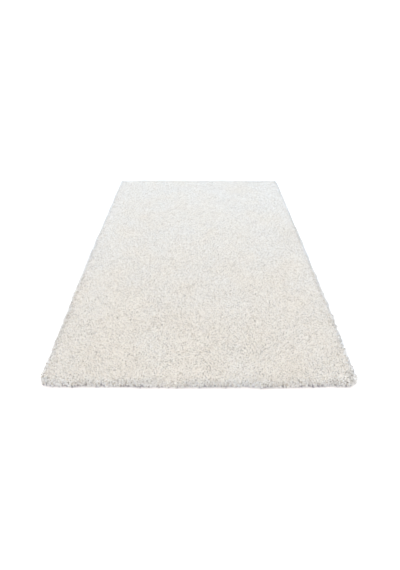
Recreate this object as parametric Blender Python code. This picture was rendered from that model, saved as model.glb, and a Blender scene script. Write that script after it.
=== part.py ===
"""Shag rug: one deep-pile slab with a lumpy top, a rounded rim and loose locks around its edge.

+X runs across the rug, +Y along it from the front edge to the back edge, and +Z up. The origin
lies on the floor, at the middle of what the rug covers. All sizes are in metres.
"""

import math
import random
from typing import NamedTuple

import bmesh
import bpy
from mathutils import Vector, noise

# The whole rug, measured over its furthest locks. The mean line of the tips lies a little inside.
RUG_WIDTH = 1.600
RUG_LENGTH = 2.300
TIP_PLAY = 0.005
HALF_WIDTH = RUG_WIDTH / 2.0 - TIP_PLAY
HALF_LENGTH = RUG_LENGTH / 2.0 - TIP_PLAY
PILE_TOP = 0.044

# The lumps of the top, each a tuft of several locks and up to a share of the spacing off its
# place, over a slower swell of the whole pile. The top starts this far inside the tips.
LUMP_SPACING = 0.040
LUMP_HEIGHT = 0.012
LUMP_SHIFT = 0.22
SWELL_HEIGHT = 0.003
SWELL_SPACING = 0.35
TOP_INSET = 0.052
TOP_EDGE_DROP = 0.002

# The locks of the rim: of every five columns, three carry a lock, each out of another band.
# A lock's root is a share of its length, at a share of its band's height and breadth.
COLUMNS = 480
LOCK_SHORTEST = 0.010
LOCK_LONGEST = 0.021
LOCK_ROOT_SHARE = 0.50
LOCK_ROOT_SIZE = 0.80
LOCK_YAW = math.radians(30.0)

QUARTER_TURN = math.pi / 2.0
YARN_COLOUR = (0.80, 0.765, 0.70, 1.0)
YARN_ROUGHNESS = 0.95
SEED = 11


class EdgeStep(NamedTuple):
    """A place along an edge, from -1 to 1, and how far the pile stands out of the line there."""

    along: float
    out: float


class RimLevel(NamedTuple):
    """One ring of the rim, from the floor up: its height, and how far inside the tips it lies."""

    height: float
    inset: float
    uneven: float


class LockBand(NamedTuple):
    """A band of the rim: how far its locks sag, and their length against those on the floor."""

    index: int
    sag: float
    reach: float


class Corner(NamedTuple):
    """One corner of the outline: its side in X and in Y, and its radius."""

    side_x: int
    side_y: int
    radius: float


# The edges are uneven: fullest near the middle of each side and drawn in towards the corners.
FRONT_EDGE = (
    EdgeStep(-1.00, -0.003), EdgeStep(-0.58, -0.003), EdgeStep(-0.05, 0.003),
    EdgeStep(0.25, 0.000), EdgeStep(0.45, 0.003), EdgeStep(0.72, -0.002), EdgeStep(1.00, -0.003),
)
RIGHT_EDGE = (
    EdgeStep(-1.00, -0.001), EdgeStep(-0.80, -0.003), EdgeStep(-0.62, 0.003),
    EdgeStep(0.05, 0.003), EdgeStep(0.50, -0.001), EdgeStep(1.00, -0.008),
)
BACK_EDGE = (
    EdgeStep(-1.00, -0.008), EdgeStep(-0.39, 0.006), EdgeStep(0.00, 0.000),
    EdgeStep(0.22, 0.003), EdgeStep(1.00, -0.005),
)
LEFT_EDGE = (
    EdgeStep(-1.00, -0.004), EdgeStep(-0.60, 0.000), EdgeStep(-0.25, 0.005),
    EdgeStep(0.05, 0.003), EdgeStep(0.72, -0.005), EdgeStep(1.00, -0.006),
)

# Anticlockwise from the front right corner, as the outline is walked.
CORNERS = (
    Corner(1, -1, 0.032), Corner(1, 1, 0.032), Corner(-1, 1, 0.046), Corner(-1, -1, 0.036),
)

FLOOR_LEVEL = RimLevel(0.000, 0.026, 0.0000)
LOW_LEVEL = RimLevel(0.011, 0.020, 0.0012)
BELLY_LEVEL = RimLevel(0.025, 0.016, 0.0022)
SHOULDER_LEVEL = RimLevel(0.037, 0.024, 0.0028)
RIM_LEVELS = (FLOOR_LEVEL, LOW_LEVEL, BELLY_LEVEL, SHOULDER_LEVEL)

# The bands between those levels that locks grow from, in turn, and how far such a lock sags.
FLOOR_BAND = LockBand(0, 0.000, 1.00)
BELLY_BAND = LockBand(1, 0.005, 0.85)
SHOULDER_BAND = LockBand(2, 0.007, 0.80)
LOCKS_IN_TURN = (FLOOR_BAND, None, BELLY_BAND, None, SHOULDER_BAND)


def clear_scene():
    """Remove every object that the new file starts with."""
    for thing in list(bpy.data.objects):
        bpy.data.objects.remove(thing, do_unlink=True)


def edge_out(steps, along):
    """How far an edge stands out at a place, read smoothly between its steps."""
    for here, after in zip(steps, steps[1:]):
        if along <= after.along:
            share = max(0.0, (along - here.along) / (after.along - here.along))
            ease = (1.0 - math.cos(math.pi * share)) / 2.0
            return here.out + (after.out - here.out) * ease
    return steps[-1].out


def stand_out(x, y, normal):
    """How far the pile stands out at a place of the outline that faces along normal."""
    along_x = x / HALF_WIDTH
    along_y = y / HALF_LENGTH
    side = edge_out(RIGHT_EDGE if normal.x > 0.0 else LEFT_EDGE, along_y)
    end = edge_out(BACK_EDGE if normal.y > 0.0 else FRONT_EDGE, along_x)
    return side * normal.x * normal.x + end * normal.y * normal.y


def outline_turns():
    """The outline as turns: each corner's centre, its first angle and radius, and the run after it."""
    turns = []
    for index, corner in enumerate(CORNERS):
        centre = Vector((corner.side_x * (HALF_WIDTH - corner.radius),
                         corner.side_y * (HALF_LENGTH - corner.radius), 0.0))
        following = CORNERS[(index + 1) % len(CORNERS)]
        half_side = HALF_LENGTH if index % 2 == 0 else HALF_WIDTH
        run = 2.0 * half_side - corner.radius - following.radius
        turns.append((centre, QUARTER_TURN * (index - 1), corner.radius, run))
    return turns


def outline_place(turns, way):
    """The point of the outline this far along it, and the direction straight out of it there."""
    for centre, start, radius, run in turns:
        arc = radius * QUARTER_TURN
        if way < arc + run:
            angle = start + min(way, arc) / radius
            normal = Vector((math.cos(angle), math.sin(angle), 0.0))
            forward = Vector((-normal.y, normal.x, 0.0))
            point = centre + normal * radius + forward * max(0.0, way - arc)
            return point + normal * stand_out(point.x, point.y, normal), normal
        way -= arc + run
    raise ValueError("the outline is shorter than that")


def outline_places():
    """The rim's columns, evenly spaced: a point of the outline and the direction out of it each."""
    turns = outline_turns()
    total = sum(radius * QUARTER_TURN + run for _, _, radius, run in turns)
    return [outline_place(turns, total * column / COLUMNS) for column in range(COLUMNS)]


def rim_ring(bm, places, level, dice):
    """One closed ring of the rim, a point for each column."""
    ring = []
    for point, normal in places:
        out = dice.uniform(-level.uneven, level.uneven)
        up = dice.uniform(-level.uneven, level.uneven)
        place = point - normal * (level.inset - out)
        ring.append(bm.verts.new((place.x, place.y, level.height + up)))
    return ring


def band(bm, lower, upper):
    """The faces between two rings of as many points each."""
    faces = []
    for index in range(len(lower)):
        after = (index + 1) % len(lower)
        faces.append(bm.faces.new((lower[index], lower[after], upper[after], upper[index])))
    return faces


def pile_height(x, y, dice):
    """The height of the lumpy top at one of its points."""
    swell = noise.noise(Vector((x / SWELL_SPACING, y / SWELL_SPACING, 0.5)))
    return PILE_TOP + SWELL_HEIGHT * swell + LUMP_HEIGHT * (dice.random() - 0.5)


def lumpy_top(bm, dice):
    """The lumpy top, and the points of its border in the order of the outline."""
    reach_x = HALF_WIDTH - TOP_INSET
    reach_y = HALF_LENGTH - TOP_INSET
    across = round(2.0 * reach_x / LUMP_SPACING)
    along = round(2.0 * reach_y / LUMP_SPACING)
    grid = []
    for row in range(along + 1):
        line = []
        for column in range(across + 1):
            border = row in (0, along) or column in (0, across)
            shift = 0.0 if border else LUMP_SHIFT * LUMP_SPACING
            x = -reach_x + 2.0 * reach_x * column / across + dice.uniform(-shift, shift)
            y = -reach_y + 2.0 * reach_y * row / along + dice.uniform(-shift, shift)
            drop = TOP_EDGE_DROP if border else 0.0
            line.append(bm.verts.new((x, y, pile_height(x, y, dice) - drop)))
        grid.append(line)
    for lower, upper in zip(grid, grid[1:]):
        for column in range(across):
            bm.faces.new((lower[column], lower[column + 1], upper[column + 1], upper[column]))
    front = grid[0]
    right = [line[-1] for line in grid]
    back = grid[-1][::-1]
    left = [line[0] for line in grid][::-1]
    return right[:-1] + back[:-1] + left[:-1] + front[:-1]


def close_gap(bm, outer, inner):
    """Join two rings of unlike numbers of points, always by the shorter of the two diagonals."""
    nearest = min(range(len(inner)), key=lambda i: (inner[i].co - outer[0].co).length)
    inner = inner[nearest:] + inner[:nearest]
    a, b = 0, 0
    while a < len(outer) or b < len(inner):
        here, there = outer[a % len(outer)], inner[b % len(inner)]
        next_outer, next_inner = outer[(a + 1) % len(outer)], inner[(b + 1) % len(inner)]
        outer_cost = (next_outer.co - there.co).length
        inner_cost = (next_inner.co - here.co).length
        if b >= len(inner) or (a < len(outer) and outer_cost <= inner_cost):
            bm.faces.new((here, next_outer, there))
            a += 1
        else:
            bm.faces.new((here, next_inner, there))
            b += 1


def grow_lock(bm, face, lock_band, dice):
    """Draw one lock out of a face of the rim: a thick root and an end that comes to a point."""
    on_floor = lock_band is FLOOR_BAND
    length = dice.uniform(LOCK_SHORTEST, LOCK_LONGEST) * lock_band.reach
    yaw = dice.uniform(-LOCK_YAW, LOCK_YAW)
    normal = face.normal
    outward = Vector((normal.x, normal.y, 0.0)).normalized()
    outward = Vector((outward.x * math.cos(yaw) - outward.y * math.sin(yaw),
                      outward.x * math.sin(yaw) + outward.y * math.cos(yaw), 0.0))
    sag = Vector((0.0, 0.0, -lock_band.sag))
    root = bmesh.ops.extrude_discrete_faces(bm, faces=[face])["faces"][0]
    middle = root.calc_center_median()
    middle.z = 0.0 if on_floor else middle.z
    step = outward * length * LOCK_ROOT_SHARE + sag * LOCK_ROOT_SHARE
    for vert in root.verts:
        vert.co = middle + (vert.co - middle) * LOCK_ROOT_SIZE + step
    end = bmesh.ops.poke(bm, faces=[root])["verts"][0]
    end.co = middle + outward * length + sag


def grow_locks(bm, bands, dice):
    """Locks all round the rim, out of the bands in turn."""
    for column in range(COLUMNS):
        lock_band = LOCKS_IN_TURN[column % len(LOCKS_IN_TURN)]
        if lock_band is not None:
            grow_lock(bm, bands[lock_band.index][column], lock_band, dice)


def centre_on_origin(bm):
    """Set the rug down with the middle of what it covers on the origin."""
    xs = [vert.co.x for vert in bm.verts]
    ys = [vert.co.y for vert in bm.verts]
    middle = Vector(((min(xs) + max(xs)) / 2.0, (min(ys) + max(ys)) / 2.0, 0.0))
    bmesh.ops.translate(bm, verts=bm.verts, vec=-middle)


def yarn_material():
    """Cream yarn: pale, warm and quite without gloss."""
    material = bpy.data.materials.new("cream_yarn")
    material.use_nodes = True
    shader = material.node_tree.nodes["Principled BSDF"]
    shader.inputs["Base Color"].default_value = YARN_COLOUR
    shader.inputs["Roughness"].default_value = YARN_ROUGHNESS
    shader.inputs["Metallic"].default_value = 0.0
    return material


def make_rug():
    """The rug, one closed body: flat underside, rim with its locks, shoulder and lumpy top."""
    dice = random.Random(SEED)
    bm = bmesh.new()
    places = outline_places()
    rings = [rim_ring(bm, places, level, dice) for level in RIM_LEVELS]
    bands = [band(bm, lower, upper) for lower, upper in zip(rings, rings[1:])]
    bm.faces.new(rings[0][::-1])
    close_gap(bm, rings[-1], lumpy_top(bm, dice))
    bmesh.ops.recalc_face_normals(bm, faces=bm.faces)
    bm.normal_update()
    grow_locks(bm, bands, dice)
    bmesh.ops.recalc_face_normals(bm, faces=bm.faces)
    centre_on_origin(bm)
    mesh = bpy.data.meshes.new("shag_rug")
    bm.to_mesh(mesh)
    bm.free()
    mesh.shade_smooth()
    mesh.materials.append(yarn_material())
    rug = bpy.data.objects.new("shag_rug", mesh)
    bpy.context.scene.collection.objects.link(rug)
    return rug


clear_scene()
make_rug()
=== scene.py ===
"""Shag rug, dressed: a deep pile of curled locks of cream twisted yarn on a plain woven backing.

The pile is some two hundred thousand separate locks, each a short three-sided strand that curls
and bends over at its end. In the middle they lean at random, and round the rim they fan out.
"""

import logging
import math
from dataclasses import dataclass, field, fields
from enum import Enum
from typing import NamedTuple

import bmesh
import bpy
import numpy as np
from bmesh.types import BMEdge, BMesh, BMVert
from bpy.types import Material, Mesh, Node, NodeSocket, NodeTree, Object
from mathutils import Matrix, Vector, noise
from mathutils.bvhtree import BVHTree
from mathutils.kdtree import KDTree
from numpy.random import Generator


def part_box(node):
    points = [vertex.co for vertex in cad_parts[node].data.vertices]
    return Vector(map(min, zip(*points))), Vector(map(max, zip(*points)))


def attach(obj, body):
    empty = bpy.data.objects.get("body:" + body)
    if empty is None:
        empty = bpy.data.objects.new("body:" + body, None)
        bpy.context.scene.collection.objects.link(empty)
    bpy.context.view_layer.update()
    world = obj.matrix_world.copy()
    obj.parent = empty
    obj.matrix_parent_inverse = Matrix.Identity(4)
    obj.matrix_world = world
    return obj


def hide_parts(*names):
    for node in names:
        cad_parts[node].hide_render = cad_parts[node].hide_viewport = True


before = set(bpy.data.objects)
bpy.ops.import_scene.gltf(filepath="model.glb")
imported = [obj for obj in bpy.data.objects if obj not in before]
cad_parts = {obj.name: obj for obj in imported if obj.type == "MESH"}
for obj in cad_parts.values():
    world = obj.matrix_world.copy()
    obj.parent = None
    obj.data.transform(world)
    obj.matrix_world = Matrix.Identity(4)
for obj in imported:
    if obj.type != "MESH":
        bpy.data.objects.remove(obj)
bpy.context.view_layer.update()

LOG = logging.getLogger("shag_rug")
MM = 0.001
QUARTER_TURN = math.pi / 2.0
FULL_TURN = 2.0 * math.pi
SOLID = "shag_rug"
BODY = "root"
FLOOR = "studio_floor"
# The picture's longer side in pixels, to which the camera's sensor is fitted.
PICTURE_HEIGHT = 570
# The pile's own UV map, under the name that the export keeps.
PILE_UV = "OFBake"


class Slot(Enum):
    """The record's material slots."""

    PILE = "pile_yarn"
    BACKING = "backing_cloth"


def linear(colour: str) -> tuple[float, float, float, float]:
    """Turn an sRGB hex colour into the linear values that a shader takes.

    Args:
        colour: The colour as six hex digits after a hash sign.

    Returns:
        Red, green, blue and an alpha of 1.
    """
    parts = [int(colour[start:start + 2], 16) / 255.0 for start in (1, 3, 5)]
    lit = [c / 12.92 if c <= 0.04045 else ((c + 0.055) / 1.055) ** 2.4 for c in parts]
    return (lit[0], lit[1], lit[2], 1.0)


def add_node(tree: NodeTree, kind: str, inputs: dict | None = None, **settings: object) -> Node:
    """Add one node to a tree, set it up and feed its inputs.

    Args:
        tree: The node tree that gets the node.
        kind: The node's type, such as ShaderNodeMath.
        inputs: For each input, by name or number, a value or the socket to link to it.
        **settings: The node's own properties.

    Returns:
        The new node.
    """
    node = tree.nodes.new(kind)
    for name, value in settings.items():
        setattr(node, name, value)
    for key, value in (inputs or {}).items():
        if isinstance(value, NodeSocket):
            tree.links.new(value, node.inputs[key])
        else:
            node.inputs[key].default_value = value
    return node


def fresh_material(name: str, inputs: dict) -> tuple[Material, NodeTree, Node]:
    """Start a material with nothing but a Principled shader and its output.

    Args:
        name: The material's name.
        inputs: The shader's inputs that are the same all over.

    Returns:
        The material, its node tree and the shader.
    """
    material = bpy.data.materials.new(name)
    material.use_nodes = True
    tree = material.node_tree
    tree.nodes.clear()
    shader = add_node(tree, "ShaderNodeBsdfPrincipled", inputs)
    add_node(tree, "ShaderNodeOutputMaterial", {"Surface": shader.outputs["BSDF"]})
    return material, tree, shader


def new_object(name: str, data: bpy.types.ID) -> Object:
    """Put a mesh, a lamp or a lens into the scene as an object at the origin.

    Args:
        name: The object's name.
        data: What it shows, lights or looks with.

    Returns:
        The new object.
    """
    thing = bpy.data.objects.new(name, data)
    bpy.context.scene.collection.objects.link(thing)
    return thing


def object_of(name: str, bm: BMesh) -> Object:
    """Turn a bmesh into an object, and free it.

    Args:
        name: The name of the object and its mesh.
        bm: The bmesh, which isn't usable afterwards.

    Returns:
        The new object.
    """
    mesh = bpy.data.meshes.new(name)
    bm.to_mesh(mesh)
    bm.free()
    mesh.shade_smooth()
    return new_object(name, mesh)


def as_piece(thing: Object, material: Material) -> Object:
    """Dress a piece of the rug and tie it to the frame.

    Args:
        thing: The piece.
        material: Its finish.

    Returns:
        The piece.
    """
    thing.data.materials.append(material)
    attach(thing, BODY)
    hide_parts(SOLID)
    return thing


# ---- finishes


@dataclass(frozen=True)
class YarnFinish:
    """Heat-set twisted polypropylene yarn, extruded, plied and crimped: matt, soft and slightly
    fuzzy, each lock a little warmer or paler than the next, with fine spiral grooves."""

    # The tones of the yarn from 0 to 1. The lowest is painted shade, which only locks at the foot
    # of the rim take.
    floor_shade_grey: str = "#A39EA5"
    dull: str = "#C2B39C"
    cream: str = "#F8F7F4"
    pale: str = "#FEFEFD"
    dull_at: float = 0.15
    cream_at: float = 0.5
    # The tints of the coolest and the warmest yarn, from dye lots and from a painted tint of light.
    cool: str = "#FEFFFF"
    warm: str = "#FFFBF4"
    # A lock is darker where it comes out of the pile, between these shares of its length: painted
    # shade, as the depth of the pile would cast.
    root_shade: str = "#F0E9DF"
    root_end: float = 0.62
    painted_shade_end: float = 0.95
    ior: float = 1.49
    roughness: float = 0.88
    sheen: float = 0.35
    sheen_roughness: float = 0.45
    # The tone of most locks, and how much duller others are: with few degrees, some by far.
    usual_tone: float = 0.92
    tone_spread: float = 0.24
    tone_degrees: float = 3.0
    least_tone: float = 0.15
    tones: int = 16
    tints: int = 8
    # Two plies that wind round each other every 5 mm or so of a lock 44 mm long.
    plies: float = 2.0
    twists: float = 9.0
    groove_depth: float = 0.5 * MM
    groove_strength: float = 0.6

    def material(self) -> Material:
        """Build the material. Its pattern follows the piece's own UV map: across it the warmth of
        each lock, from its dye lot and a painted tint of light, its tone and the way round the
        strand, and up it the way from root to tip, along which the painted root shade fades.

        Returns:
            The material.
        """
        material, tree, shader = fresh_material(
            "heat_set_twisted_polypropylene_yarn",
            {"Roughness": self.roughness, "IOR": self.ior, "Sheen Weight": self.sheen,
             "Sheen Roughness": self.sheen_roughness})
        place = add_node(tree, "ShaderNodeUVMap", uv_map=PILE_UV)
        parts = add_node(tree, "ShaderNodeSeparateXYZ", {0: place.outputs["UV"]})
        # The way across is split into warmths, from dye lots and a painted tint of light, and each
        # of those into its tones.
        across, shares = parts.outputs["X"], []
        for count in (self.tints, self.tones):
            inside = add_node(tree, "ShaderNodeMath", {0: across}, operation="FRACT")
            across = add_node(tree, "ShaderNodeMath", {0: inside.outputs[0], 1: count},
                              operation="MULTIPLY").outputs[0]
            number = add_node(tree, "ShaderNodeMath", {0: across}, operation="FLOOR")
            shares.append(add_node(tree, "ShaderNodeMath", {0: number.outputs[0], 1: count - 1},
                                   operation="DIVIDE"))
        warmth, tone = (share.outputs[0] for share in shares)
        dye_and_painted_tint = add_node(tree, "ShaderNodeMix",
                       {0: warmth, 6: linear(self.cool), 7: linear(self.warm)}, data_type="RGBA")
        ramp = add_node(tree, "ShaderNodeValToRGB", {0: tone})
        stops = ramp.color_ramp.elements
        stops[0].color, stops[1].color = linear(self.floor_shade_grey), linear(self.pale)
        stops.new(self.dull_at).color = linear(self.dull)
        stops.new(self.cream_at).color = linear(self.cream)
        # Painted shade: each lock is darker towards its root, where the pile around it would shade
        # it.
        depth = add_node(tree, "ShaderNodeMapRange",
                         {"Value": parts.outputs["Y"], "From Min": self.root_end,
                          "From Max": self.painted_shade_end}, interpolation_type="SMOOTHSTEP")
        painted_shade = add_node(tree, "ShaderNodeMix",
                         {0: depth.outputs[0], 6: linear(self.root_shade), 7: linear("#FFFFFF")},
                         data_type="RGBA")
        colour = ramp.outputs["Color"]
        for tint in (dye_and_painted_tint, painted_shade):
            colour = add_node(tree, "ShaderNodeMix", {0: 1.0, 6: colour, 7: tint.outputs[2]},
                              data_type="RGBA", blend_type="MULTIPLY").outputs[2]
        bump = add_node(tree, "ShaderNodeBump",
                        {"Height": self.groove(tree, across, parts.outputs["Y"]),
                         "Strength": self.groove_strength, "Distance": self.groove_depth})
        tree.links.new(colour, shader.inputs["Base Color"])
        tree.links.new(bump.outputs["Normal"], shader.inputs["Normal"])
        return material

    def tone(self, dice: Generator, count: int) -> np.ndarray:
        """Deal out tones from 0 for dull to 1 for pale, most of them pale and few well darker."""
        duller = np.abs(dice.standard_t(self.tone_degrees, count))
        return np.maximum(self.usual_tone - self.tone_spread * duller, self.least_tone)

    def column(self, tone: np.ndarray, warmth: np.ndarray) -> np.ndarray:
        """The column of the yarn's pattern for each lock's tone and its dye lot's warmth."""
        lot = np.clip(warmth * self.tints, 0, self.tints - 1).astype(int)
        return lot * self.tones + np.clip(tone * self.tones, 0, self.tones - 1).astype(int)

    def columns(self) -> int:
        """How many columns the yarn's pattern has."""
        return self.tints * self.tones

    def groove(self, tree: NodeTree, around: NodeSocket,
               along: NodeSocket) -> NodeSocket:
        """The spiral grooves between the plies, as a height from 0 to 1.

        Args:
            tree: The material's node tree.
            around: The way round the strand, in turns.
            along: The way from root to tip.

        Returns:
            The height's socket.
        """
        rise = add_node(tree, "ShaderNodeMath", {0: along, 1: self.twists, 2: around},
                        operation="MULTIPLY_ADD")
        wave = add_node(tree, "ShaderNodeMath", {0: rise.outputs[0], 1: 0.5 / self.plies},
                        operation="PINGPONG")
        height = add_node(tree, "ShaderNodeMath", {0: wave.outputs[0], 1: 2.0 * self.plies},
                          operation="MULTIPLY")
        return height.outputs[0]


@dataclass(frozen=True)
class GroundFinish:
    """The same twisted yarn deep in the pile, where locks press together: broken up by strands
    about 5 mm thick, with painted shade between them, painted dark pits as shade where the pile
    would part, and painted shade towards the floor."""

    # The yarn deep in the pile, painted darker than the locks as shade.
    colour: str = "#E4DCCF"
    painted_shade: str = "#CFC4B2"
    painted_pit_shade: str = "#75695A"
    foot_shade: str = "#5C5759"
    foot_shade_height: float = 18.0 * MM
    # Painted pits open where soft noise of this size passes the first value, and are full at the
    # second.
    pit_size: float = 5.0 * MM
    pit_from: float = 0.585
    pit_full: float = 0.615
    strand: float = 5.0 * MM
    relief: float = 3.0 * MM
    roughness: float = 0.95

    def material(self) -> Material:
        """Build the material.

        Returns:
            The material.
        """
        material, tree, shader = fresh_material("twisted_yarn_deep_in_the_pile",
                                                {"Roughness": self.roughness})
        place = add_node(tree, "ShaderNodeTexCoord").outputs["Object"]
        cells = add_node(tree, "ShaderNodeTexVoronoi",
                         {"Vector": place, "Scale": 1.0 / (2.0 * self.strand)})
        # Painted shade between the strands: darker towards the edge of each cell.
        mix = add_node(tree, "ShaderNodeMix",
                       {0: cells.outputs["Distance"], 6: linear(self.colour),
                        7: linear(self.painted_shade)}, data_type="RGBA")
        # Painted shade of pits, where the pile would part.
        parted = add_node(tree, "ShaderNodeTexNoise",
                          {"Vector": place, "Scale": 1.0 / self.pit_size, "Detail": 0.0})
        pit_shade_mask = add_node(tree, "ShaderNodeMapRange",
                        {"Value": parted.outputs["Fac"], "From Min": self.pit_from,
                         "From Max": self.pit_full})
        body = add_node(tree, "ShaderNodeMix",
                        {0: pit_shade_mask.outputs[0], 6: mix.outputs[2], 7: linear(self.painted_pit_shade)},
                        data_type="RGBA")
        # Painted shade towards the floor, up to the foot's height.
        parts = add_node(tree, "ShaderNodeSeparateXYZ", {0: place})
        raised = add_node(tree, "ShaderNodeMapRange",
                          {"Value": parts.outputs["Z"], "From Max": self.foot_shade_height},
                          interpolation_type="SMOOTHSTEP")
        colour = add_node(tree, "ShaderNodeMix",
                          {0: raised.outputs[0], 6: linear(self.foot_shade), 7: body.outputs[2]},
                          data_type="RGBA")
        bump = add_node(tree, "ShaderNodeBump",
                        {"Height": cells.outputs["Distance"], "Distance": self.relief},
                        invert=True)
        tree.links.new(colour.outputs[2], shader.inputs["Base Color"])
        tree.links.new(bump.outputs["Normal"], shader.inputs["Normal"])
        return material


@dataclass(frozen=True)
class BackingFinish:
    """Plain woven cotton and polyester backing, sized stiff: dull, grey, with a coarse
    over-and-under weave and uneven threads."""

    weft: str = "#86817E"
    warp: str = "#9B9692"
    slub: str = "#676264"
    # Drawn coarser than the real 1 to 1.5 mm, so that the weave shows from a step away.
    thread: float = 3.0 * MM
    slub_length: float = 12.0 * MM
    relief: float = 0.6 * MM
    roughness: float = 0.93

    def material(self) -> Material:
        """Build the material.

        Returns:
            The material.
        """
        material, tree, shader = fresh_material("plain_woven_sized_cotton_backing",
                                                {"Roughness": self.roughness})
        place = add_node(tree, "ShaderNodeTexCoord").outputs["Object"]
        weave = add_node(tree, "ShaderNodeTexChecker",
                         {"Vector": place, "Color1": linear(self.weft),
                          "Color2": linear(self.warp), "Scale": 1.0 / self.thread})
        slubs = add_node(tree, "ShaderNodeTexNoise",
                         {"Vector": place, "Scale": 1.0 / self.slub_length, "Detail": 5.0})
        colour = add_node(tree, "ShaderNodeMix",
                          {0: slubs.outputs["Fac"], 6: weave.outputs["Color"],
                           7: linear(self.slub)}, data_type="RGBA")
        parts = add_node(tree, "ShaderNodeSeparateXYZ", {0: place})
        rounds = [add_node(tree, "ShaderNodeMath", {0: parts.outputs[axis], 1: self.thread},
                           operation="PINGPONG").outputs[0] for axis in ("X", "Y")]
        over = add_node(tree, "ShaderNodeMix",
                        {0: weave.outputs["Fac"], 2: rounds[0], 3: rounds[1]})
        height = add_node(tree, "ShaderNodeMath",
                          {0: over.outputs[0], 1: 1.0 / self.thread}, operation="MULTIPLY")
        bump = add_node(tree, "ShaderNodeBump",
                        {"Height": height.outputs[0], "Distance": self.relief})
        tree.links.new(colour.outputs[2], shader.inputs["Base Color"])
        tree.links.new(bump.outputs["Normal"], shader.inputs["Normal"])
        return material


@dataclass(frozen=True)
class FloorFinish:
    """Matt white painted floor, so evenly lit that it shows no tone of its own."""

    # Warmer than white by as much as the daylight of the studio is cooler.
    colour: str = "#EAE4DD"
    roughness: float = 0.9

    def material(self) -> Material:
        """Build the material.

        Returns:
            The material.
        """
        return fresh_material("matt_white_painted_floor", {
            "Base Color": linear(self.colour), "Roughness": self.roughness,
            "Specular IOR Level": 0.0})[0]


# ---- the solid


def neighbours(values: np.ndarray, reach: int) -> np.ndarray:
    """A closed ring of values beside itself, turned by up to a reach of places each way."""
    return np.stack([np.roll(values, shift, axis=0) for shift in range(-reach, reach + 1)])


@dataclass
class RugForm:
    """The solid that the pile follows, read for its outline and for the height of its top."""

    # The wall is looked for at this height, and the furthest tips lie this far past it.
    wall_height: float = 30.0 * MM
    wall_to_tips: float = 17.6 * MM
    look_from: float = 120.0 * MM
    # The pile's corners are drawn in a little further than the solid's.
    corner_draw: float = 4.5 * MM
    corner_radius: float = 36.0 * MM
    # The distance of the outline's stations, and how many of them on each side pass over the
    # solid's single locks and smooth the rest.
    spacing: float = 16.0 * MM
    passed_over: int = 4
    smoothed: int = 2
    tree: BVHTree = field(init=False)
    low: Vector = field(init=False)
    high: Vector = field(init=False)
    half_x: float = field(init=False)
    half_y: float = field(init=False)
    stations: np.ndarray = field(init=False)

    def __post_init__(self) -> None:
        """Read the solid."""
        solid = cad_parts[SOLID]
        self.tree = BVHTree.FromObject(solid, bpy.context.evaluated_depsgraph_get())
        self.low, self.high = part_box(SOLID)
        self.half_x = (self.high[0] - self.low[0]) / 2.0
        self.half_y = (self.high[1] - self.low[1]) / 2.0
        self.stations = self.walk()

    def top(self, x: float, y: float) -> float:
        """How high above the floor the solid's top is at a place, or 0 outside the rug."""
        place = self.tree.ray_cast(Vector((x, y, 1.0)), Vector((0.0, 0.0, -1.0)))[0]
        return place.z if place else 0.0

    def reach(self, inner: Vector, out: Vector) -> float:
        """How far the solid's wall lies from an inner point, at the height of its shoulder."""
        start = Vector((inner.x, inner.y, self.wall_height))
        return self.tree.ray_cast(start, out)[3] or self.look_from

    def inset(self, x: np.ndarray, y: np.ndarray) -> tuple[np.ndarray, np.ndarray]:
        """How far inside the outline places are, and which way is straight out there.

        Args:
            x: Each place across the rug.
            y: Each place along the rug.

        Returns:
            The insets, negative outside, and a row of x and y for each direction out.
        """
        found = KDTree(len(self.stations))
        for number, station in enumerate(self.stations):
            found.insert((station[0], station[1], 0.0), number)
        found.balance()
        near = np.array([found.find((a, b, 0.0))[1] for a, b in zip(x, y)])
        out = self.stations[near, 2:]
        gap = self.stations[near, :2] - np.stack([x, y], axis=1)
        return (gap * out).sum(axis=1), out

    def box_places(self) -> list[tuple[Vector, Vector]]:
        """Walk round the solid's box with its corners rounded, each corner before its side.

        Returns:
            A place and its direction out for each station, anticlockwise and evenly spaced.
        """
        half_x, half_y, radius = self.half_x, self.half_y, self.corner_radius
        places = []
        for turn, (side_x, side_y) in enumerate(((1, -1), (1, 1), (-1, 1), (-1, -1))):
            centre = Vector((side_x * (half_x - radius), side_y * (half_y - radius), 0.0))
            start = QUARTER_TURN * (turn - 1)
            bends = max(2, round(radius * QUARTER_TURN / self.spacing))
            run = 2.0 * ((half_y if turn % 2 == 0 else half_x) - radius)
            strides = round(run / self.spacing)
            steps = [(start + QUARTER_TURN * step / bends, 0.0) for step in range(bends)]
            steps += [(start + QUARTER_TURN, run * step / strides) for step in range(strides)]
            for angle, forward in steps:
                out = Vector((math.cos(angle), math.sin(angle), 0.0))
                ahead = Vector((-out.y, out.x, 0.0))
                places.append((centre + out * radius + ahead * forward, out))
        return places

    def walk(self) -> np.ndarray:
        """Walk round the rug and find the outline of its furthest tips.

        Returns:
            A row of x, y, out_x and out_y for each station, anticlockwise and evenly spaced.
        """
        places = self.box_places()
        walls = np.array([self.reach(p - n * self.look_from, n) for p, n in places])
        steady = np.median(neighbours(walls, self.passed_over), axis=0)
        tips = neighbours(steady, self.smoothed).mean(axis=0) - self.look_from + self.wall_to_tips
        # Nothing on the sides, and all of it half-way round a corner.
        tips -= self.corner_draw * np.array([2.0 * abs(n.x * n.y) for _, n in places])
        rows = np.array([(p.x + n.x * t, p.y + n.y * t, n.x, n.y)
                         for (p, n), t in zip(places, tips)])
        return neighbours(rows, self.smoothed).mean(axis=0)

    def along(self, share: np.ndarray) -> np.ndarray:
        """Places anywhere along the outline.

        Args:
            share: How far round the rug each place is, from 0 to 1.

        Returns:
            A row of x, y, out_x and out_y for each place.
        """
        count = len(self.stations)
        at = (share % 1.0) * count
        low = np.floor(at).astype(int) % count
        part = (at - np.floor(at))[:, None]
        found = self.stations[low] * (1.0 - part) + self.stations[(low + 1) % count] * part
        found[:, 2:] /= np.linalg.norm(found[:, 2:], axis=1, keepdims=True)
        return found


# ---- the pile


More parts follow.
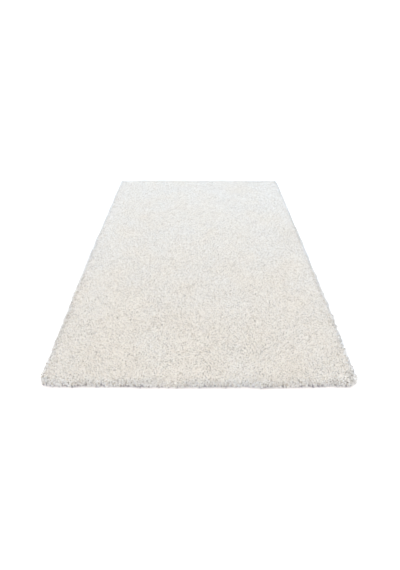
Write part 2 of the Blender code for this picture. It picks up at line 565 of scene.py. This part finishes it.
@dataclass
class TaperedLock:
    """The part of one straight lock that shows, drawn to a point: the pattern that every lock of
    the pile is bent from. Its lengths and girths are shares of the lock's."""

    sides: int = 3
    start: float = 0.62
    start_girth: float = 1.20
    # The share of its column in the yarn's pattern that stays free on each side.
    margin: float = 0.1
    heights: np.ndarray = field(init=False)
    rounds: np.ndarray = field(init=False)
    faces: np.ndarray = field(init=False)
    face_uv: np.ndarray = field(init=False)

    def __post_init__(self) -> None:
        """Draw the lock upright, and note its points, its faces and their places on the yarn's
        pattern."""
        bm = bmesh.new()
        bmesh.ops.create_cone(bm, cap_ends=True, segments=self.sides, radius1=self.start_girth,
                              radius2=0.0, depth=1.0 - self.start)
        bmesh.ops.translate(bm, verts=bm.verts, vec=(0.0, 0.0, (1.0 + self.start) / 2.0))
        bmesh.ops.recalc_face_normals(bm, faces=bm.faces)
        bmesh.ops.triangulate(bm, faces=bm.faces)
        bm.verts.index_update()
        points = np.array([v.co[:] for v in bm.verts])
        self.rounds = points[:, :2]
        self.heights = points[:, 2]
        self.faces = np.array([[v.index for v in f.verts] for f in bm.faces])
        uv = []
        for face in bm.faces:
            middle = face.calc_center_median()
            facing = math.atan2(middle.y, middle.x)
            for vert in face.verts:
                turn = math.atan2(vert.co.y, vert.co.x) if vert.co.xy.length else facing
                turn = facing + (turn - facing + math.pi) % FULL_TURN - math.pi
                across = (turn / FULL_TURN + 0.5) * (1.0 - 2.0 * self.margin) + self.margin
                uv.append((across, vert.co.z))
        self.face_uv = np.array(uv)
        bm.free()


@dataclass
class Locks:
    """Many locks, with a value or a row for each: where its root is, how far its tip leans over,
    how far its line rises and by which angle it droops, how wide its curl is, which way it starts
    and how many turns it makes, its girth, its column in the yarn's pattern, and how much of the
    painted shade at its root it has."""

    root: np.ndarray
    lean: np.ndarray
    rise: np.ndarray
    droop: np.ndarray
    curl: np.ndarray
    phase: np.ndarray
    turns: np.ndarray
    girth: np.ndarray
    column: np.ndarray
    painted_shade: np.ndarray

    def __len__(self) -> int:
        """How many locks there are."""
        return len(self.rise)

    def part(self, chosen: np.ndarray) -> "Locks":
        """Those of the locks that are chosen, with a True or False for each."""
        return Locks(*(getattr(self, part.name)[chosen] for part in fields(self)))

    def line(self, way: np.ndarray) -> np.ndarray:
        """The middle line of every lock.

        Args:
            way: How far from root to tip each wanted point is, from 0 to 1.

        Returns:
            The points, locks by points by x, y and z.
        """
        way = way[None, :]
        # A lock leaves its root upright, leans more and more, and curls wider towards its tip.
        leaning = way ** 1.5
        curling = self.curl[:, None] * np.minimum(1.0, way * 2.0) * way
        angle = self.phase[:, None] + FULL_TURN * self.turns[:, None] * way
        bend = QUARTER_TURN + self.droop[:, None]
        x = self.root[:, 0:1] + self.lean[:, 0:1] * leaning + curling * np.cos(angle)
        y = self.root[:, 1:2] + self.lean[:, 1:2] * leaning + curling * np.sin(angle)
        z = self.root[:, 2:3] + self.rise[:, None] * np.sin(way * bend)
        z = np.maximum(z, self.girth[:, None] / 2.0)
        return np.stack([x, y, z], axis=2)

    def mesh(self, name: str, pattern: TaperedLock, columns: int) -> Mesh:
        """Bend the pattern along every lock's line and join them all.

        Args:
            name: The mesh's name.
            pattern: The straight lock.
            columns: How many columns the yarn's pattern has.

        Returns:
            The mesh, with the pile's UV map.
        """
        ways, which = np.unique(pattern.heights, return_inverse=True)
        centre = self.line(ways)
        nearby = 0.02
        along = self.line(ways + nearby) - self.line(ways - nearby)
        along /= np.linalg.norm(along, axis=2, keepdims=True)
        aside = np.stack([-np.sin(self.phase), np.cos(self.phase), np.zeros(len(self))], axis=1)
        first = np.cross(along, aside[:, None])
        first /= np.linalg.norm(first, axis=2, keepdims=True)
        second = np.cross(along, first)
        half = (self.girth / 2.0)[:, None, None]
        points = (centre[:, which]
                  + first[:, which] * pattern.rounds[None, :, 0:1] * half
                  + second[:, which] * pattern.rounds[None, :, 1:2] * half)
        count = len(pattern.heights)
        faces = pattern.faces[None] + (np.arange(len(self)) * count)[:, None, None]
        mesh = bpy.data.meshes.new(name)
        mesh.from_pydata(points.reshape(-1, 3), [], faces.reshape(-1, 3))
        uv = np.tile(pattern.face_uv, (len(self), 1, 1))
        uv[:, :, 0] = (uv[:, :, 0] + self.column[:, None]) / columns
        # Each lock's share of the painted shade at its root moves its way up towards the tip.
        uv[:, :, 1] = 1.0 - (1.0 - uv[:, :, 1]) * self.painted_shade[:, None]
        layer = mesh.uv_layers.new(name=PILE_UV)
        layer.data.foreach_set("uv", uv.astype(np.float32).ravel())
        mesh.shade_smooth()
        return mesh


def patches(x: np.ndarray, y: np.ndarray, size: float, seed: float) -> np.ndarray:
    """Soft patches of one size over the rug: values around 0, rarely beyond 0.5 either way."""
    return np.array([noise.noise(Vector((a / size, b / size, seed))) for a, b in zip(x, y)])


class RimStep(NamedTuple):
    """A step of the rim's rounded section: its height, and how far inside the tips it lies."""

    height: float
    inset: float


def rim_steps(*steps: tuple[float, float]) -> tuple[RimStep, ...]:
    """Steps that are given by their heights and insets in millimetres."""
    return tuple(RimStep(height * MM, inset * MM) for height, inset in steps)


@dataclass(frozen=True)
class RimSection:
    """The rounded section that the tips of the pile make at the rug's rim, from the floor up. The
    rim's fan of locks goes as far as its last step, and the field's tips rise from where it is
    widest to the crown. Between two insets, the blend, fan and field change over lock by lock."""

    steps: tuple[RimStep, ...] = rim_steps(
        (2.5, 6.5), (7.0, 4.7), (14.0, 3.5), (22.0, 3.0), (30.0, 4.5), (37.0, 9.5), (42.0, 20.0),
        (45.0, 45.0))
    crown: RimStep = RimStep(52.0 * MM, 90.0 * MM)
    blend: tuple[float, float] = (12.0 * MM, 36.0 * MM)
    # How wide and how deep the tufts are that the rim's locks gather in.
    tuft: float = 6.5 * MM
    tuft_height: float = 12.5 * MM
    tuft_seed: float = 8.1

    def at(self, walked: np.ndarray) -> tuple[np.ndarray, np.ndarray, float]:
        """Places along the section, from the floor up.

        Args:
            walked: How far along the section each place is, as a share of its length.

        Returns:
            Their heights, their insets and the section's length.
        """
        heights, insets = np.array(self.steps).T
        lengths = np.concatenate([[0.0], np.cumsum(np.hypot(np.diff(heights), np.diff(insets)))])
        far = walked * lengths[-1]
        return np.interp(far, lengths, heights), np.interp(far, lengths, insets), lengths[-1]

    def height(self, inset: np.ndarray) -> np.ndarray:
        """How high the section stands.

        Args:
            inset: How far inside the furthest tips each place is.

        Returns:
            The heights, with the crown's for all that lies further in.
        """
        widest = min(self.steps, key=lambda step: step.inset)
        rising = (*self.steps[self.steps.index(widest):], self.crown)
        return np.interp(inset, [step.inset for step in rising], [step.height for step in rising])

    def bulge(self, place: np.ndarray) -> np.ndarray:
        """How far the rim's tufts stand out along the outline, negative between tufts."""
        return self.tuft_height * patches(place[:, 0], place[:, 1], self.tuft, self.tuft_seed)


@dataclass(frozen=True)
class DyeLotsAndPaintedTint:
    """How warm the yarn is over the rug: a painted tint of light makes it a little warmer towards
    the front and cooler round the rim, and its dye lots make it patchy. Its warmth goes from 0 for
    cool to 1 for warm."""

    middle: float = 0.5
    # Painted tint of light: how the warmth changes a metre towards the back, and at the outermost
    # of the rim.
    painted_tint_a_metre: float = -0.31
    painted_cool_rim: float = 0.25
    rim: float = 250.0 * MM
    # How uneven the patches are and how wide, and how far single locks differ from theirs.
    patchiness: float = 0.6
    patch: float = 160.0 * MM
    mixed: float = 0.1
    seed: float = 3.7

    def warmth(self, dice: Generator, x: np.ndarray, y: np.ndarray,
               inset: np.ndarray) -> np.ndarray:
        """How warm the yarn is at places, from its dye lots and from the painted tint of light.

        Args:
            dice: Where the chance comes from.
            x: Each place across the rug.
            y: Each place along the rug.
            inset: How far inside the furthest tips each place is.

        Returns:
            The warmth of each place's yarn.
        """
        outer = 1.0 - np.clip(inset / self.rim, 0.0, 1.0)
        spots = self.patchiness * patches(x, y, self.patch, self.seed)
        chance = dice.uniform(-self.mixed, self.mixed, len(x))
        # The painted tint of light, then the dye lots' patches and the single locks.
        return self.middle + self.painted_tint_a_metre * y - self.painted_cool_rim * outer + spots + chance


@dataclass
class Pile:
    """What the field and the rim share: what their locks are made from and follow, and how much
    the crimp of the yarn makes them differ."""

    form: RugForm
    pattern: TaperedLock
    finish: YarnFinish
    section: RimSection
    tints: DyeLotsAndPaintedTint
    root_height: float = 3.0 * MM
    # The girth, and how far a curl takes a tip off its line, with their ranges, and its turns.
    girth: float = 3.6 * MM
    girth_play: tuple[float, float] = (0.8, 1.2)
    curl: float = 1.5 * MM
    curl_play: tuple[float, float] = (0.4, 1.3)
    turns: tuple[float, float] = (0.7, 1.6)

    def girths(self, dice: Generator, count: int) -> np.ndarray:
        """Deal out girths."""
        return self.girth * dice.uniform(*self.girth_play, count)

    def curls(self, dice: Generator, count: int) -> dict[str, np.ndarray]:
        """Deal out curls, half of them to the left and half to the right.

        Args:
            dice: Where the chance comes from.
            count: How many locks there are.

        Returns:
            The curl, phase and turns of each lock.
        """
        return {
            "curl": self.curl * dice.uniform(*self.curl_play, count),
            "phase": dice.uniform(0.0, FULL_TURN, count),
            "turns": dice.choice([-1.0, 1.0], count) * dice.uniform(*self.turns, count),
        }

    def piece(self, name: str, locks: Locks, material: Material) -> Object:
        """Make one piece of some locks and dress it."""
        mesh = locks.mesh(name, self.pattern, self.finish.columns())
        return as_piece(new_object(name, mesh), material)


@dataclass
class PileField(Pile):
    """The standing pile inside the rim: locks on a jittered grid that lean and curl at random,
    and outwards near the rim. Each stands for three or four yarn ends of a real rug."""

    spacing: float = 4.5 * MM
    jitter: float = 0.32
    lean: float = 3.0 * MM
    outward: float = 3.0 * MM
    outward_from: float = 70.0 * MM
    most_droop: float = 0.55
    # How much shorter the shortest locks are, few of them by far, and how much of the solid's
    # lumps the tips follow.
    uneven: float = 1.5 * MM
    lumpiness: float = 0.35
    strips: int = 5
    seed: int = 21

    def locks(self) -> Locks:
        """Place every lock of the field.

        Returns:
            The locks.
        """
        dice = np.random.default_rng(self.seed)
        low, high = self.form.low, self.form.high
        grids = np.meshgrid(*(np.arange(low[axis], high[axis], self.spacing) for axis in (0, 1)))
        x, y = (grid.ravel() + dice.uniform(-self.jitter, self.jitter, grid.size) * self.spacing
                for grid in grids)
        inset, out = self.form.inset(x, y)
        kept = inset > dice.uniform(*self.section.blend, len(inset))
        x, y, inset, out = x[kept], y[kept], inset[kept], out[kept]
        count = len(x)
        tops = np.array([self.form.top(a, b) for a, b in zip(x, y)])
        tops = tops.mean() + self.lumpiness * (tops - tops.mean())
        tops = np.minimum(self.section.height(inset), tops)
        heading = dice.uniform(0.0, FULL_TURN, count)
        far = self.lean * np.sqrt(dice.uniform(0.0, 1.0, count))
        near_rim = np.clip(1.0 - inset / self.outward_from, 0.0, 1.0)[:, None]
        lean = np.stack([np.cos(heading) * far, np.sin(heading) * far], axis=1)
        girth = self.girths(dice, count)
        shorter = self.uneven * dice.uniform(0.0, 1.0, count) ** 1.5
        warmth = self.tints.warmth(dice, x, y, inset)
        droop = dice.uniform(0.0, self.most_droop, count)
        curls = self.curls(dice, count)
        return Locks(
            root=np.stack([x, y, np.full(count, self.root_height)], axis=1),
            lean=lean + out * near_rim * self.outward,
            rise=tops - self.root_height - girth / 2.0 - shorter,
            droop=droop,
            girth=girth,
            column=self.finish.column(self.finish.tone(dice, count), warmth),
            painted_shade=np.ones(count),
            **curls,
        )

    def build(self, material: Material) -> list[Object]:
        """Build the field in strips across the rug.

        Args:
            material: The yarn's finish.

        Returns:
            The strips.
        """
        locks = self.locks()
        share = (locks.root[:, 1] - self.form.low[1]) / (2.0 * self.form.half_y)
        strip = np.floor(share * self.strips)
        return [self.piece(f"pile_strip_{number + 1}", locks.part(strip == number), material)
                for number in range(self.strips)]


@dataclass
class PileRim(Pile):
    """The fan of locks round the edge, from standing ones to those that hang over to the floor."""

    girth: float = 4.6 * MM
    curl: float = 1.8 * MM
    # The usual distance of locks, and the power by which more of them end low down.
    spacing: float = 3.8 * MM
    low_bias: float = 1.5
    # How far the lowest tip lies from its root, the highest's share of that, and its range.
    reach: float = 12.0 * MM
    high_reach: float = 0.25
    reach_play: tuple[float, float] = (0.7, 1.3)
    # How far the lowest lock rises above its tip, the range of that, and where along its reach.
    hang: float = 8.0 * MM
    hang_play: tuple[float, float] = (0.3, 1.0)
    hang_at: float = 0.45
    least_rise: float = 0.5 * MM
    least_hang: float = 0.3 * MM
    # How far single tips stray: with few degrees, some by far.
    stray: float = 1.2 * MM
    stray_degrees: float = 3.0
    most_stray: float = 3.0
    # How far tips between tufts lift off the floor, as a share of the tufts' depth.
    lift: float = 0.9
    splay: float = 3.5 * MM
    # Painted shade by the floor: how much duller it makes clumps of the lowest locks, and how fast
    # that ends further up.
    floor_shade_strength: float = 10.0
    floor_shade_fade: float = 8.0
    clump: float = 6.0 * MM
    clump_seed: float = 5.3
    # How much less painted shade at its root the lowest lock has, as it lies open to the light.
    lit: float = 0.5
    seed: int = 5

    def places(self, dice: Generator) -> np.ndarray:
        """Spread the locks along the outline.

        Args:
            dice: Where the chance comes from.

        Returns:
            A row of x, y, out_x and out_y for each lock.
        """
        stations = self.form.stations[:, :2]
        length = np.linalg.norm(stations - np.roll(stations, 1, axis=0), axis=1).sum()
        _, _, across = self.section.at(np.zeros(1))
        count = round(length * across / self.spacing ** 2)
        return self.form.along((np.arange(count) + dice.uniform(-0.5, 0.5, count)) / count)

    def tips(self, dice: Generator, place: np.ndarray,
             walked: np.ndarray) -> tuple[np.ndarray, np.ndarray, np.ndarray]:
        """Place the tips along the section, gather them in tufts and let single ones stray. Low
        ones go out with their tuft and high ones up with it.

        Args:
            dice: Where the chance comes from.
            place: A row of x, y, out_x and out_y for each lock.
            walked: How far up the section each tip is, as a share of its length.

        Returns:
            Their heights, their insets, and whether each is the rim's or left to the field.
        """
        height, inset, _ = self.section.at(walked)
        kept = inset < dice.uniform(*self.section.blend, len(inset))
        low_down = 1.0 - walked
        stray = dice.standard_t(self.stray_degrees, len(walked))
        stray = stray.clip(-self.most_stray, self.most_stray) * self.stray
        bulge = self.section.bulge(place)
        inset = inset - (stray + bulge) * np.minimum(2.0 * low_down, 1.0)
        height = height + bulge * np.minimum(2.0 * walked, 1.0) - np.abs(stray) * walked
        height = height + self.lift * np.maximum(-bulge, 0.0) * low_down ** 2
        return height, inset, kept

    def painted_floor_shade(self, place: np.ndarray, low_down: np.ndarray) -> np.ndarray:
        """How much painted shade by the floor lowers each lock's tone, in clumps, with low_down up
        to 1 for tips at the floor.
        """
        clumps = patches(place[:, 0], place[:, 1], self.clump, self.clump_seed)
        return self.floor_shade_strength * low_down ** self.floor_shade_fade * np.maximum(clumps, 0.0)

    def locks(self) -> Locks:
        """Place every lock of the rim.

        Returns:
            The locks.
        """
        dice = np.random.default_rng(self.seed)
        place = self.places(dice)
        count = len(place)
        out = place[:, 2:]
        side = np.stack([-out[:, 1], out[:, 0]], axis=1)
        walked = dice.uniform(0.0, 1.0, count) ** self.low_bias
        low_down = 1.0 - walked
        tip_height, tip_inset, kept = self.tips(dice, place, walked)
        reach = self.reach * (self.high_reach + (1.0 - self.high_reach) * low_down)
        reach = reach * dice.uniform(*self.reach_play, count)
        girth = self.girths(dice, count)
        peak = np.minimum(self.section.height(tip_inset + self.hang_at * reach),
                          tip_height + self.hang * low_down * dice.uniform(*self.hang_play, count))
        base = self.root_height + girth / 2.0
        tip_rise = np.maximum(tip_height - base, self.least_rise)
        rise = np.maximum(peak - base, tip_rise + self.least_hang)
        splay = dice.normal(0.0, self.splay, count)
        root = place[:, :2] - out * (tip_inset + reach)[:, None] - side * (splay / 2.0)[:, None]
        warmth = self.tints.warmth(dice, place[:, 0], place[:, 1], tip_inset)
        curls = self.curls(dice, count)
        # Painted shade: clumps of the lowest locks get a duller tone, as shade at the floor.
        tone = self.finish.tone(dice, count) - self.painted_floor_shade(place, low_down)
        return Locks(
            root=np.column_stack([root, np.full(count, self.root_height)]),
            lean=out * reach[:, None] + side * splay[:, None],
            rise=rise,
            droop=np.arccos(tip_rise / rise),
            girth=girth,
            column=self.finish.column(tone, warmth),
            painted_shade=1.0 - self.lit * low_down,
            **curls,
        ).part(kept)

    def build(self, material: Material) -> Object:
        """Build the rim as one piece."""
        return self.piece("pile_rim", self.locks(), material)


@dataclass
class PileGround:
    """The body of the pile just under its ends, where locks press together and no gap goes
    through: a lumpy middle part inside rings that follow the rim's section and tufts."""

    form: RugForm
    section: RimSection
    spacing: float = 20.0 * MM
    inset: float = 56.0 * MM
    # How deep it lies under the solid's top, and how much deeper its hollows are.
    cover: float = 13.0 * MM
    lump: float = 4.0 * MM
    ring_spacing: float = 5.0 * MM
    rings: tuple[RimStep, ...] = rim_steps(
        (2.6, 8.0), (7.0, 7.4), (15.0, 10.0), (23.0, 12.0), (27.0, 19.0), (29.0, 34.0))
    seed: int = 9

    def middle(self, bm: BMesh) -> list[BMEdge]:
        """Lay the lumpy middle part.

        Args:
            bm: The ground's bmesh, still empty.

        Returns:
            The edges round it.
        """
        dice = np.random.default_rng(self.seed)
        half_x, half_y = self.form.half_x - self.inset, self.form.half_y - self.inset
        bmesh.ops.create_grid(bm, x_segments=round(2.0 * half_x / self.spacing),
                              y_segments=round(2.0 * half_y / self.spacing), size=1.0)
        bmesh.ops.scale(bm, verts=bm.verts, vec=(half_x, half_y, 1.0))
        for vert in bm.verts:
            top = self.form.top(vert.co.x, vert.co.y)
            vert.co.z = top - self.cover - self.lump * dice.uniform()
        return [edge for edge in bm.edges if edge.is_boundary]

    def ring(self, bm: BMesh, place: np.ndarray, bulge: np.ndarray,
             step: RimStep) -> list[BMEdge]:
        """Lay one ring of the rounded rim.

        Args:
            bm: The ground's bmesh.
            place: A row of x, y, out_x and out_y for each place.
            bulge: How far the rim's tufts stand out there.
            step: The ring's height and inset.

        Returns:
            The ring's edges.
        """
        points = place[:, :2] + place[:, 2:] * (bulge - step.inset)[:, None]
        verts = [bm.verts.new((x, y, step.height)) for x, y in points]
        return [bm.edges.new(pair) for pair in zip(verts, verts[1:] + verts[:1])]

    def build(self, material: Material) -> Object:
        """Build the ground as one closed lumpy mat with a rounded rim.

        Args:
            material: Its finish.

        Returns:
            The piece.
        """
        bm = bmesh.new()
        inner = self.middle(bm)
        count = round(4.0 * (self.form.half_x + self.form.half_y) / self.ring_spacing)
        place = self.form.along(np.arange(count) / count)
        bulge = self.section.bulge(place)
        rings = [self.ring(bm, place, bulge, step) for step in self.rings]
        for low, high in zip(rings, rings[1:] + [inner]):
            bmesh.ops.bridge_loops(bm, edges=low + high)
        bmesh.ops.holes_fill(bm, edges=rings[0])
        bmesh.ops.recalc_face_normals(bm, faces=bm.faces)
        return as_piece(object_of("pile_ground", bm), material)


@dataclass
class Backing:
    """The woven backing, one flat cloth with rounded corners, a little smaller than the pile that
    hangs over it and just clear of the floor."""

    form: RugForm
    inset: float = 12.0 * MM
    thickness: float = 2.0 * MM
    lift: float = 0.4 * MM
    crease: float = math.radians(40.0)

    def build(self, material: Material, pile: list[Object]) -> Object:
        """Args:
            material: Its finish.
            pile: The pieces of pile that stand on it; not used.

        Returns:
            The piece.
        """
        rim = self.form.stations[:, :2] - self.form.stations[:, 2:] * self.inset
        bm = bmesh.new()
        outline = [bm.verts.new((x, y, 0.0)) for x, y in rim]
        bm.faces.new(outline)
        made = bmesh.ops.extrude_face_region(bm, geom=bm.faces[:], use_keep_orig=True)["geom"]
        top = [item for item in made if isinstance(item, BMVert)]
        bmesh.ops.translate(bm, verts=top, vec=(0.0, 0.0, self.thickness))
        bmesh.ops.translate(bm, verts=bm.verts, vec=(0.0, 0.0, self.lift))
        bmesh.ops.recalc_face_normals(bm, faces=bm.faces)
        cloth = as_piece(object_of("woven_backing", bm), material)
        cloth.data.set_sharp_from_angle(angle=self.crease)
        return cloth


# ---- the studio


@dataclass(frozen=True)
class Softbox:
    """A broad flat lamp behind a diffusing cloth."""

    name: str
    place: tuple[float, float, float]
    aim: tuple[float, float, float]
    width: float
    height: float
    energy: float
    colour: tuple[float, float, float]

    def hang(self) -> None:
        """Hang the lamp in its place and turn it to what it lights."""
        lamp = bpy.data.lights.new(self.name, "AREA")
        lamp.shape = "RECTANGLE"
        lamp.size = self.width
        lamp.size_y = self.height
        lamp.energy = self.energy
        lamp.color = self.colour
        hung = new_object(self.name, lamp)
        hung.location = self.place
        hung.rotation_euler = (Vector(self.aim) - hung.location).to_track_quat("-Z", "Y").to_euler()


@dataclass
class Studio:
    """The white floor, the soft light all round and the camera of a catalogue picture. The first
    softbox makes the back half of the rug paler and cooler, and the second keeps the front rim
    out of its own shade."""

    form: RugForm
    # So wide that it fills the picture up to the horizon.
    floor_size: float = 300.0
    sky: tuple[float, float, float, float] = (1.836, 1.896, 2.036, 1.0)
    lamps: tuple[Softbox, ...] = (
        Softbox("softbox_over_the_back", (0.3, 1.2, 2.6), (0.0, 0.2, 0.0), 3.0, 2.0,
                47.0, (0.345, 0.635, 1.0)),
        Softbox("low_softbox_in_front", (0.0, -4.2, 0.8), (0.0, -1.1, 0.0), 3.0, 1.0,
                9.3, (0.95, 0.96, 1.0)),
    )
    # Found from where the rug's straight edges and its corners lie in the picture.
    camera_height: float = 1.4346
    camera_back: float = 0.7987
    pitch: float = math.radians(42.767)
    focal_pixels: float = 317.08
    sensor: float = 36.0
    shift_pixels: float = 1.15
    sight: float = 200.0

    def floor(self, finish: FloorFinish) -> None:
        """Lay the floor.

        Args:
            finish: The floor's finish.
        """
        bm = bmesh.new()
        bmesh.ops.create_grid(bm, x_segments=1, y_segments=1, size=self.floor_size / 2.0)
        floor = object_of(FLOOR, bm)
        floor.data.materials.append(finish.material())

    def light(self) -> None:
        """Set the soft white light that comes from everywhere, and hang the lamps."""
        world = bpy.data.worlds.new("soft_white_studio")
        world.use_nodes = True
        world.node_tree.nodes["Background"].inputs["Color"].default_value = self.sky
        bpy.context.scene.world = world
        for lamp in self.lamps:
            lamp.hang()

    def camera(self) -> None:
        """Stand the camera in front of the rug, aim it down along it and keep colours as they
        are, without a film's curve."""
        lens = bpy.data.cameras.new("catalogue_camera")
        lens.sensor_width = self.sensor
        lens.lens = self.focal_pixels * self.sensor / PICTURE_HEIGHT
        lens.shift_x = self.shift_pixels / PICTURE_HEIGHT
        lens.clip_end = self.sight
        camera = new_object("catalogue_camera", lens)
        camera.location = (0.0, self.form.low[1] - self.camera_back, self.camera_height)
        camera.rotation_euler = (QUARTER_TURN - self.pitch, 0.0, 0.0)
        bpy.context.scene.camera = camera
        bpy.context.scene.view_settings.view_transform = "Standard"


def main() -> None:
    """Build the rug and its studio, and report each piece."""
    logging.basicConfig(level=logging.INFO, format="%(name)s: %(message)s")
    form = RugForm()
    finish = YarnFinish()
    yarn = finish.material()
    section = RimSection()
    shared = (form, TaperedLock(), finish, section, DyeLotsAndPaintedTint())
    pile = PileField(*shared).build(yarn)
    pile.append(PileRim(*shared).build(yarn))
    pile.append(PileGround(form, section).build(GroundFinish().material()))
    studio = Studio(form)
    studio.floor(FloorFinish())
    backing = Backing(form).build(BackingFinish().material(), pile)
    for piece in (*pile, backing):
        LOG.info("%s: %d faces", piece.name, len(piece.data.polygons))
    studio.light()
    studio.camera()


if __name__ == "__main__":
    main()
